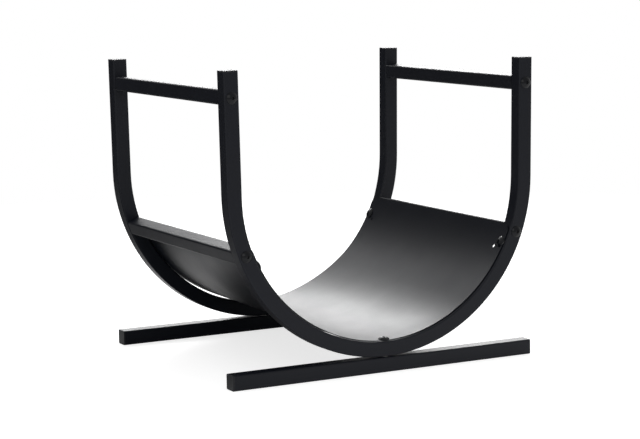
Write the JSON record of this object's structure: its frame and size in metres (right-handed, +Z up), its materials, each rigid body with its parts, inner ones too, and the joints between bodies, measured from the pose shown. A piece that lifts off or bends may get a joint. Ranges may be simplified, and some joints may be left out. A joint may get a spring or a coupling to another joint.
{
  "type": "firewood rack",
  "caption": "Indoor firewood rack: square-tube U frames on foot bars, joined by crossbars, with a rolled sheet tray that cradles the logs.",
  "frame": {"origin": "centre of the footprint on the floor: midway between the two foot bars and midway across the U frames", "axes": "+X across the U frames towards the right leg, +Y from the front frame to the back frame, +Z up"},
  "size_m": [0.4498, 0.3788, 0.3983],
  "materials": {
    "black_powder_coat": "satin",
    "black_bolt": "semi-gloss",
    "zinc_insert": "zinc plated",
    "black_cap": "matte"
  },
  "bodies": {
    "root": {"front_u_frame": "black_powder_coat", "back_u_frame": "black_powder_coat", "front_foot_bar": "black_powder_coat", "back_foot_bar": "black_powder_coat", "top_left_crossbar": "black_powder_coat", "top_right_crossbar": "black_powder_coat", "lower_left_crossbar": "black_powder_coat", "lower_right_crossbar": "black_powder_coat", "log_tray": "black_powder_coat", "top_left_crossbar_nuts": "zinc_insert", "top_left_crossbar_bolts": "black_bolt", "top_right_crossbar_nuts": "zinc_insert", "top_right_crossbar_bolts": "black_bolt", "lower_left_crossbar_nuts": "zinc_insert", "lower_left_crossbar_bolts": "black_bolt", "lower_right_crossbar_nuts": "zinc_insert", "lower_right_crossbar_bolts": "black_bolt", "left_tray_inserts": "zinc_insert", "right_tray_inserts": "zinc_insert", "foot_inserts": "zinc_insert", "left_tray_bolts": "black_bolt", "right_tray_bolts": "black_bolt", "foot_bolts": "black_bolt", "front_left_leg_cap": "black_cap", "front_right_leg_cap": "black_cap", "back_left_leg_cap": "black_cap", "back_right_leg_cap": "black_cap", "front_left_foot_cap": "black_cap", "front_right_foot_cap": "black_cap", "back_left_foot_cap": "black_cap", "back_right_foot_cap": "black_cap"}
  },
  "joints": []
}
